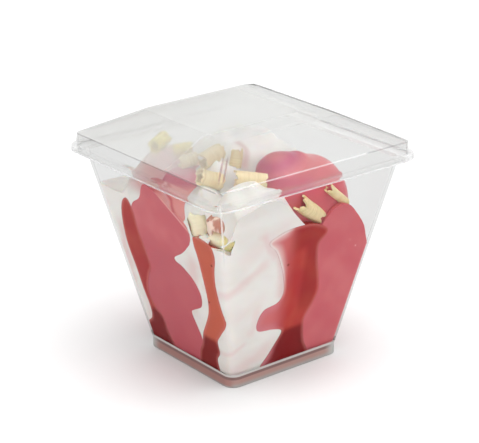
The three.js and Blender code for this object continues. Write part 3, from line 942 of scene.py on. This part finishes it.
lid_under = LIP_TOP - SHEET
lid = square_stack("clear_lid", [
    (LID_TOP_HALF - SHEET / 2, LID_TOP_RADIUS, LID_TOP - SHEET),
    (LID_EDGE_HALF - SHEET, LID_EDGE_RADIUS - SHEET, LID_EDGE - SHEET / 2),
    (LID_FOOT_HALF - SHEET, LID_FOOT_RADIUS - SHEET, lid_under),
    (LIP_HALF - SHEET, LIP_RADIUS - SHEET, lid_under),
    (LIP_HALF - SHEET, LIP_RADIUS - SHEET, LIP_BOTTOM),
    (LIP_HALF, LIP_RADIUS, LIP_BOTTOM),
    (LIP_HALF, LIP_RADIUS, LIP_TOP),
    (LID_FOOT_HALF, LID_FOOT_RADIUS, LIP_TOP),
    (LID_EDGE_HALF, LID_EDGE_RADIUS, LID_EDGE),
    (LID_TOP_HALF, LID_TOP_RADIUS, LID_TOP),
])
round_edges(lid, LID_ROUNDING, LID_SHARP)

haze = Finish("clear formed sheet")
sheet = haze.surface({
    "Base Color": PLASTIC,
    "Transmission Weight": 1.0,
    "IOR": PLASTIC_IOR,
    "Roughness": 0.0,
    "Coat Weight": 0.6,
    "Coat IOR": SHEEN_IOR,
    "Coat Roughness": 0.03,
    "Normal": haze.bump(haze.noise(20, detail=1), 0.2, 0.25),
})

# A faint milky veil lies all over the sheet, partly haze and partly painted reflection,
# thicker on the dome's left part and on the lip. The far lip is painted whiter, as painted
# light against its shade.
lip = haze.z.fade(73.6, 73.3)
painted_far_lip = haze.x.fade(34, 38).above(haze.y.fade(34, 38)) * haze.z.fade(75.2, 74.9)
veil_colours = haze.blend(lip.above(painted_far_lip), HAZE_AND_REFLECTION, LIP_HAZE_AND_LIGHT)
veil_and_reflection = haze.surface({"Base Color": veil_colours, "Roughness": 0.4})
dome = haze.z.fade(78.9, 79.2)
leftward = haze.x.fade(22, 14) * haze.y.fade(-34, -10)
veil = dome * leftward * 0.3 + lip * 0.25 + 0.06
veiled = haze.node("MixShader", {}, {0: veil.above(painted_far_lip * 0.35), 1: sheet, 2: veil_and_reflection}).outputs[0]

# Thin painted lines of highlight and shade show where the sheet folds: at the foot of the
# slopes and along two of the hips.
fold = (haze.z - (LID_EDGE - 0.05)).size().fade(0.35, 0.15)
left_fold = haze.x.fade(0.4 - LID_EDGE_HALF, 0.1 - LID_EDGE_HALF)
dark_fold = left_fold.above(haze.x.fade(20, 22))
fold_painted_light = haze.blend(dark_fold, FOLD_PAINTED_HIGHLIGHT, FOLD_PAINTED_SHADE)
near_slope = haze.z.fade(79.6, 79.9) * haze.x.fade(0, -10)
fold_painted_light = haze.blend(near_slope, fold_painted_light, HIP_PAINTED_SHADE)
painted_fold_line = haze.surface({"Base Color": fold_painted_light, "Roughness": 0.4})
front_fold = haze.y.fade(0.4 - LID_EDGE_HALF, 0.1 - LID_EDGE_HALF)
right_hip = (haze.x + haze.y).size().fade(0.7, 0.3) * haze.x.fade(22, 24) * 0.25
beside_hip = ((haze.x - haze.y).size() - 1).size().fade(0.6, 0.2) * haze.x.fade(-20, -24)
near_hip = beside_hip * haze.z.fade(80, 81.5) * haze.z.fade(85.5, 83.5) * 0.4
fold_share = (fold * (left_fold * 0.38).above(front_fold * 0.3)).above(right_hip).above(near_hip)
haze.use_on(lid, haze.node("MixShader", {}, {0: fold_share, 1: veiled, 2: painted_fold_line}).outputs[0])
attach(lid, "root")
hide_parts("lid")


# Studio
# The pot stands on a plain white floor in soft light from all round, with one large soft
# lamp above it. Floor and walls are greyer where they are seen through the clear plastic.
# The lengths of the floor and the lamp are in metres.
WALLS_THROUGH = 0.83
WALLS_BRIGHT = 1.1
BACKDROP_BRIGHT = 1.05
PAPER_BRIGHT = (0.745, 0.745, 0.745)
PAPER_THROUGH = (0.5, 0.5, 0.497)
FLOOR_WIDE = 6
SKY = (0.985, 0.99, 0.99, 1)
bpy.ops.mesh.primitive_plane_add(size=FLOOR_WIDE, location=(0, 0, 0))
floor = bpy.context.object
floor.name = "floor"
paper = Finish("white paper")
rays = paper.node("LightPath").outputs
plain = Number(paper, rays["Is Camera Ray"]).above(Number(paper, rays["Diffuse Depth"]))
paper_colour = paper.blend(plain.below(1), PAPER_THROUGH, PAPER_BRIGHT)
paper_surface = paper.surface({"Base Color": paper_colour, "Roughness": 0.8})
paper.use_on(floor, paper_surface)

world = bpy.data.worlds.new("studio")
bpy.context.scene.world = world
world.use_nodes = True
sky = world.node_tree
rays = sky.nodes.new("ShaderNodeLightPath").outputs
bright = sky.nodes["Background"]
for ray, strength in (("Diffuse Depth", WALLS_BRIGHT), ("Is Camera Ray", BACKDROP_BRIGHT)):
    mixed = sky.nodes.new("ShaderNodeMix")
    mixed.inputs["A"].default_value = WALLS_THROUGH
    mixed.inputs["B"].default_value = strength
    sky.links.new(rays[ray], mixed.inputs["Factor"])
    if bright.inputs["Strength"].is_linked:
        sky.links.new(bright.inputs["Strength"].links[0].from_socket, mixed.inputs["A"])
    sky.links.new(mixed.outputs["Result"], bright.inputs["Strength"])
bright.inputs["Color"].default_value = SKY

KEY_WAY = Vector((0.04, -0.2, 0.95))
KEY_FAR = 2.0
KEY_SIZE = 1.5
KEY_POWER = 26
bpy.ops.object.light_add(type="AREA", location=KEY_WAY.normalized() * KEY_FAR)
key = bpy.context.object
key.data.shape = "SQUARE"
key.data.size = KEY_SIZE
key.data.energy = KEY_POWER
key.rotation_euler = KEY_WAY.to_track_quat("Z", "Y").to_euler()

scene = bpy.context.scene
scene.view_settings.view_transform = "Standard"

AZIMUTH = math.radians(-37.87)
ELEVATION = math.radians(21.06)
ROLL = math.radians(-0.71)
DISTANCE = 600.6
AIM_RIGHT = -0.74
AIM_UP = 48.07
FOCUS_PIXELS = 1738.2
PICTURE_WIDTH = 479
SENSOR = 36
out = Vector((
    math.sin(AZIMUTH) * math.cos(ELEVATION),
    -math.cos(AZIMUTH) * math.cos(ELEVATION),
    math.sin(ELEVATION),
))
right = Vector((0, 0, 1)).cross(out).normalized()
up = out.cross(right)
aim = right * AIM_RIGHT + Vector((0, 0, AIM_UP))
place = (out * DISTANCE + aim) * MM
rolled_right = right * math.cos(ROLL) + up * math.sin(ROLL)
rolled_up = up * math.cos(ROLL) - right * math.sin(ROLL)
bpy.ops.object.camera_add()
camera = bpy.context.object
facing = Matrix((rolled_right, rolled_up, out)).transposed().to_4x4()
camera.matrix_world = Matrix.Translation(place) @ facing
camera.data.sensor_fit = "HORIZONTAL"
camera.data.sensor_width = SENSOR
camera.data.lens = FOCUS_PIXELS * SENSOR / PICTURE_WIDTH
scene.camera = camera
